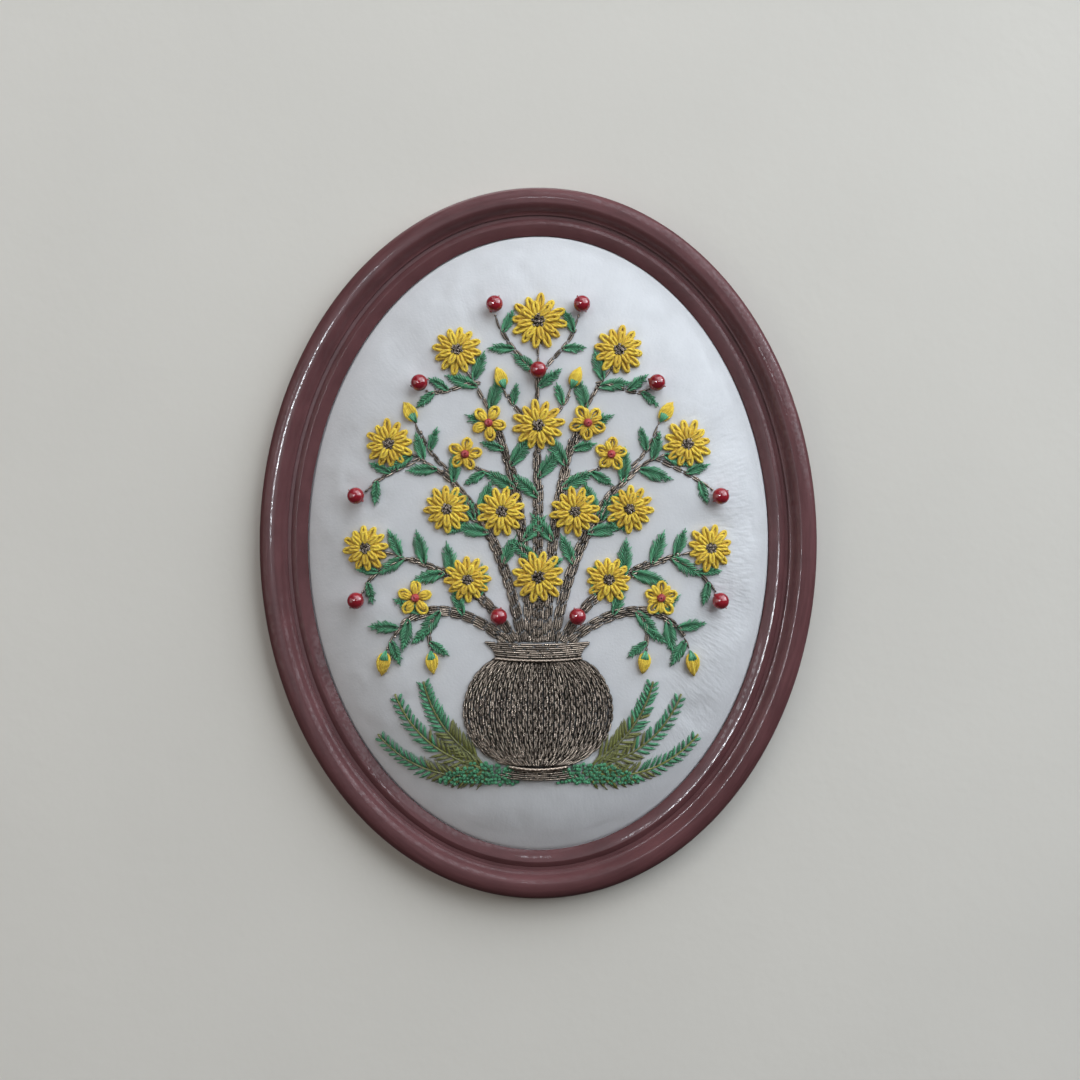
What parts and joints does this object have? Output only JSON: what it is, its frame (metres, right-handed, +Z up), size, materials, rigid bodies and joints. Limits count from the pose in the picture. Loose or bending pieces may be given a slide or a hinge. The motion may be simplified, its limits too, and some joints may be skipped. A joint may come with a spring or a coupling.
{
  "type": "embroidered wall hanging in an oval frame",
  "caption": "Oval padded white cloth with raised flower embroidery and sewn beads, held in a moulded wooden frame that hangs flat on a wall.",
  "frame": {"origin": "on the frame's flat back face, at the top centre, where the wall holds it", "axes": "+Z up, +X to the viewer's right, the front faces -Y and +Y points into the wall"},
  "size_m": [0.2174, 0.0251, 0.2772],
  "materials": {
    "lacquered_wood": "satin",
    "white_cloth": "matte",
    "red_bead": "gloss",
    "metal_thread": "satin",
    "yellow_yarn": "matte",
    "green_floss": "satin",
    "olive_floss": "satin",
    "red_floss": "satin"
  },
  "bodies": {
    "root": {"frame": "lacquered_wood", "padded_cloth": "white_cloth", "bead_01": "red_bead", "bead_02": "red_bead", "bead_03": "red_bead", "bead_04": "red_bead", "bead_05": "red_bead", "bead_06": "red_bead", "bead_07": "red_bead", "bead_08": "red_bead", "bead_09": "red_bead", "bead_10": "red_bead", "bead_11": "red_bead"}
  },
  "joints": []
}
